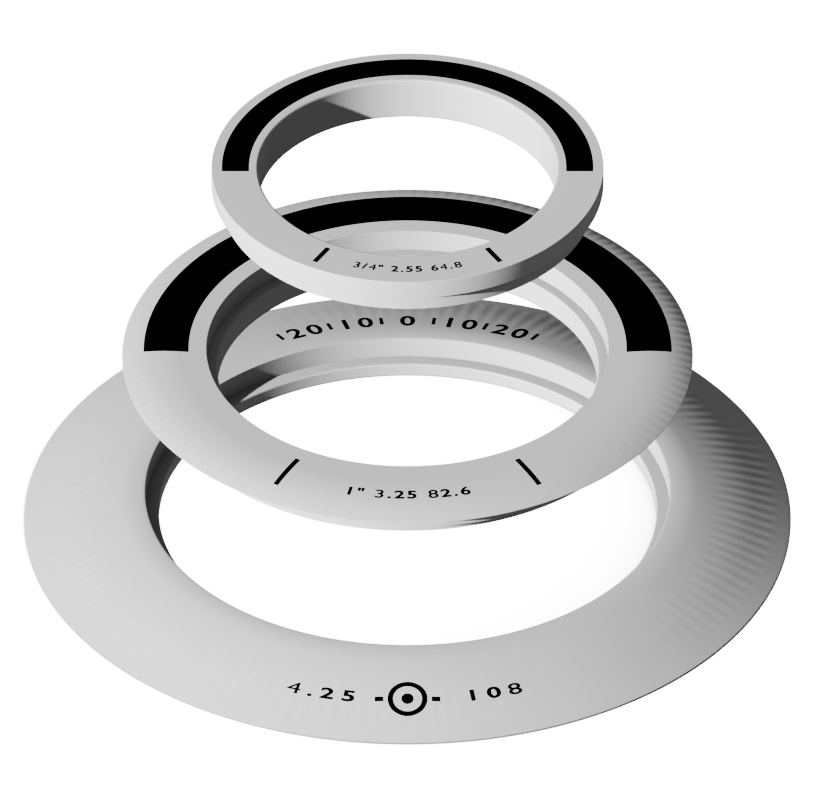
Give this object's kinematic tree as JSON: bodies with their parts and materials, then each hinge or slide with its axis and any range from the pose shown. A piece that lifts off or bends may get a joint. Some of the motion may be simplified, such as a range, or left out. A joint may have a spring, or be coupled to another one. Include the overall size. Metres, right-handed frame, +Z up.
{
  "type": "putting cup",
  "caption": "Low ramped ring around a golf hole, with drop-in reducer rings that nest inside it and narrow the target.",
  "frame": {"origin": "on the rings' common axis, at the flat underside of the ramp ring", "axes": "+Z up along the rings' common axis; -Y is the front, where the size numerals are; +X is to the right"},
  "size_m": [0.1666, 0.1666, 0.0944],
  "materials": {
    "ring_plastic": "satin silver-grey moulded plastic with fine radial tool lines on its slopes",
    "mark_plastic": "matt black inlaid plastic"
  },
  "bodies": {
    "ramp": {"ramp_ring": "ring_plastic", "ramp_inch_numerals": "mark_plastic", "ramp_target": "mark_plastic", "ramp_millimetre_numerals": "mark_plastic", "ramp_aim_scale": "mark_plastic"},
    "one_inch": {"one_inch_reducer": "ring_plastic", "one_inch_half_band": "mark_plastic", "one_inch_left_gate_mark": "mark_plastic", "one_inch_right_gate_mark": "mark_plastic", "one_inch_size_numerals": "mark_plastic"},
    "three_quarter": {"three_quarter_reducer": "ring_plastic", "three_quarter_half_band": "mark_plastic", "three_quarter_left_gate_mark": "mark_plastic", "three_quarter_right_gate_mark": "mark_plastic", "three_quarter_size_numerals": "mark_plastic"}
  },
  "joints": [
    {"name": "one_inch_lift", "type": "slide", "parent": "ramp", "child": "one_inch", "axis": [0, 0, 1], "range_m": [-0.03585, 0]},
    {"name": "three_quarter_lift", "type": "slide", "parent": "one_inch", "child": "three_quarter", "axis": [0, 0, 1], "range_m": [-0.04835, 0]}
  ]
}
